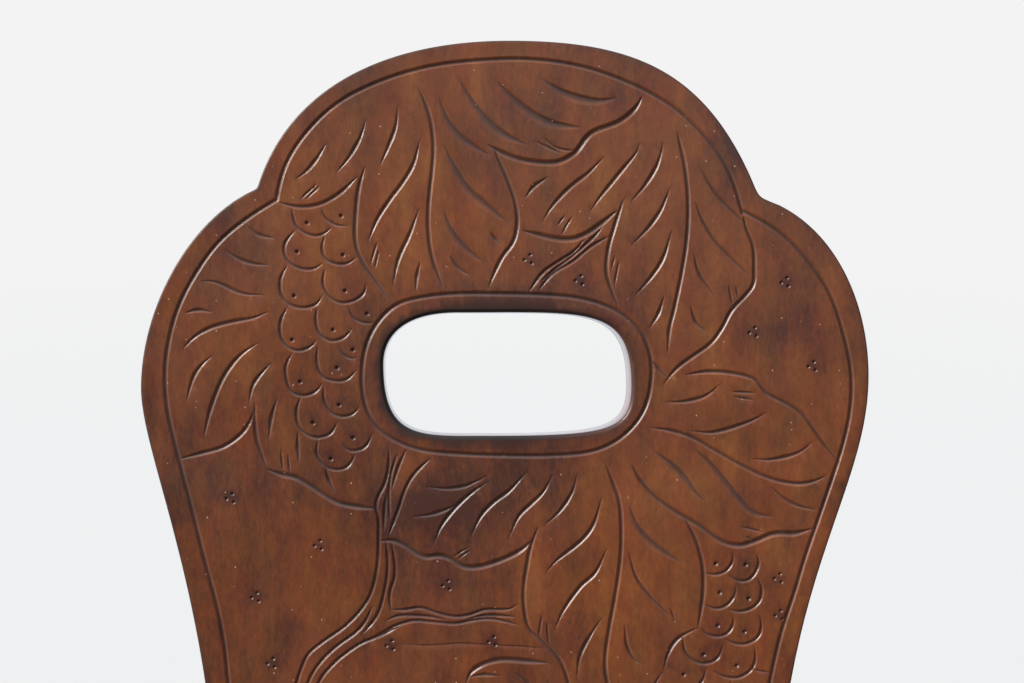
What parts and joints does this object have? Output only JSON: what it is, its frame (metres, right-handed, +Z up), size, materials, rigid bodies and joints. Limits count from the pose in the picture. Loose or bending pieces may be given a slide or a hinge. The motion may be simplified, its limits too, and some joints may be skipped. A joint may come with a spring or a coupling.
{
  "type": "board back chair",
  "caption": "Wooden chair with a lobed, leaning back board and hand hole, a plank seat on dovetailed battens, and splayed octagonal legs.",
  "frame": {"origin": "on the floor, under the middle of the chair's bounding box", "axes": "+Z up, -Y the way the sitter faces, +X to the right as seen from in front"},
  "size_m": [0.4234, 0.485, 0.9303],
  "materials": {
    "board_wood": "carved, brown stain, worn satin varnish",
    "seat_wood": "brown stain, satin varnish worn by use",
    "leg_wood": "planed facets, brown stain, satin varnish",
    "batten_wood": "planed, thin brown stain, dull",
    "wedge_wood": "split and planed, thin stain, dull"
  },
  "bodies": {
    "root": {"back_board": "board_wood", "seat": "seat_wood", "batten_left": "batten_wood", "batten_right": "batten_wood", "leg_front_left": "leg_wood", "leg_front_right": "leg_wood", "leg_rear_left": "leg_wood", "leg_rear_right": "leg_wood", "leg_wedge_front_left": "wedge_wood", "leg_wedge_front_right": "wedge_wood", "leg_wedge_rear_left": "wedge_wood", "leg_wedge_rear_right": "wedge_wood", "back_key_left": "wedge_wood", "back_key_right": "wedge_wood"}
  },
  "joints": []
}
